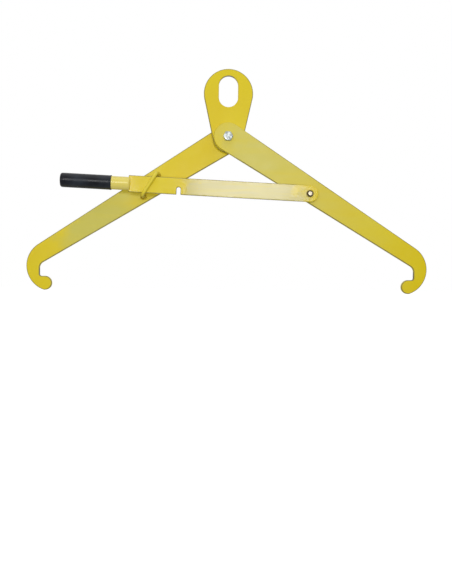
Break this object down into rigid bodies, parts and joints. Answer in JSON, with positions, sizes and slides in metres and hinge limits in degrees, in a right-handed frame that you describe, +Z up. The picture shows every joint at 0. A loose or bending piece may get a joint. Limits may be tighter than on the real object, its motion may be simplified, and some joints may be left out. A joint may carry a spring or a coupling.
{
  "type": "drum lifter",
  "caption": "Scissor lifter for horizontal drums: hooked arms on a pivot bolt under a slotted eye plate, held by a notched tie bar with a handle that slides through a keeper.",
  "frame": {"origin": "centre of the upper arc of the eye plate's slot, where the hoist hook bears, at the middle of the plate's thickness", "axes": "+X to the right along the span between the hooks, +Y to the back through the plates along the pivot bolt, +Z up"},
  "size_m": [0.9818, 0.0788, 0.5439],
  "materials": {
    "yellow_paint": "gloss enamel on flame-cut steel plate",
    "zinc": "bright zinc plate",
    "nylon": "natural nylon",
    "grip_vinyl": "smooth black vinyl"
  },
  "bodies": {
    "eye": {"eye_plate": "yellow_paint"},
    "right_arm": {"right_arm": "yellow_paint", "main_pivot_bolt": "zinc", "main_pivot_nut": "zinc", "main_nut_insert": "nylon", "main_back_washer": "zinc", "front_thrust_washer": "nylon", "rear_thrust_washer": "nylon", "bar_pivot_bolt": "zinc", "bar_pivot_nut": "zinc", "bar_nut_insert": "nylon", "bar_back_washer": "zinc", "bar_thrust_washer": "nylon"},
    "left_arm": {"left_arm": "yellow_paint", "keeper_staple": "yellow_paint", "staple_welds": "yellow_paint"},
    "tie_bar": {"tie_bar": "yellow_paint", "handle_tube": "yellow_paint", "handle_grip": "grip_vinyl", "handle_welds": "yellow_paint"}
  },
  "joints": [
    {"name": "eye_swing", "type": "hinge", "parent": "eye", "child": "right_arm", "pos_m": [0, 0, -0.1265], "axis": [0, 1, 0], "range_deg": [-45, 45]},
    {"name": "arms_open", "type": "hinge", "parent": "right_arm", "child": "left_arm", "pos_m": [0, 0, -0.1265], "axis": [0, 1, 0], "range_deg": [-30, 10]},
    {"name": "tie_bar_swing", "type": "hinge", "parent": "right_arm", "child": "tie_bar", "pos_m": [0.19998, -0.0238, -0.26307], "axis": [0, -1, 0], "range_deg": [-5, 15]}
  ],
  "couplings": [
    {"joint": "tie_bar_swing", "follows": "arms_open", "ratio": -0.485}
  ]
}
